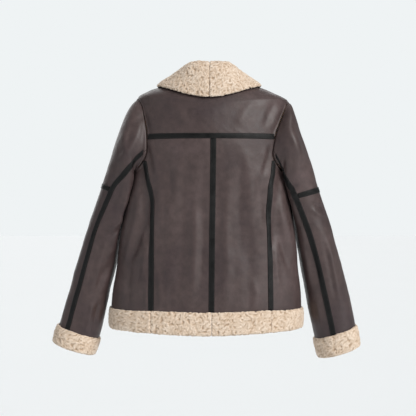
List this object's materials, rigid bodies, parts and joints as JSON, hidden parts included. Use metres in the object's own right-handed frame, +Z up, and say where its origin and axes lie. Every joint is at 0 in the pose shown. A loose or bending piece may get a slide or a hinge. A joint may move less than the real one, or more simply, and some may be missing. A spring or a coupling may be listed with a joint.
{
  "type": "short flight-style jacket with pile collar, cuffs and hem",
  "caption": "Short filled-out jacket of leather-like cloth with pile inside, folded pile collar, turned-up pile hem and cuffs, taped seams and a closed front zip.",
  "frame": {"origin": "middle of the neck, between the highest points of the shoulder seams", "axes": "+X to the wearer's left, +Y out of the back, +Z up; the jacket hangs as worn"},
  "size_m": [0.742, 0.242, 0.702],
  "materials": {
    "face": "dark brown leather-like face, soft sheen",
    "pile": "cream curled pile",
    "trim": "black woven tape, slight sheen",
    "zip_metal": "dark burnished zip metal"
  },
  "bodies": {
    "jacket": {"back_left": "face", "back_right": "face", "collar_left": "pile", "collar_right": "pile", "cuff_left": "pile", "cuff_right": "pile", "front_left": "face", "front_right": "face", "hem_back_left": "pile", "hem_back_right": "pile", "hem_front_left": "pile", "hem_front_right": "pile", "hem_side_left": "pile", "hem_side_right": "pile", "side_left": "face", "side_right": "face", "sleeve_top_lower_left": "face", "sleeve_top_lower_right": "face", "sleeve_top_upper_left": "face", "sleeve_top_upper_right": "face", "sleeve_under_left": "face", "sleeve_under_right": "face", "tape_centre_back": "trim", "tape_elbow_left": "trim", "tape_elbow_right": "trim", "tape_side_back_left": "trim", "tape_side_back_right": "trim", "tape_side_front_left": "trim", "tape_side_front_right": "trim", "tape_sleeve_left": "trim", "tape_sleeve_right": "trim", "tape_yoke": "trim", "yoke_back": "face", "zip_chain": "zip_metal", "zip_slider": "zip_metal", "zip_tape_left": "trim", "zip_tape_right": "trim"},
    "pull": {"zip_pull": "zip_metal"}
  },
  "joints": [
    {"name": "zip_pull_swing", "type": "hinge", "parent": "jacket", "child": "pull", "pos_m": [0.0029, -0.0686, -0.06581], "axis": [-0.9992, -0.0208, 0.0344], "range_deg": [0, 120]}
  ]
}
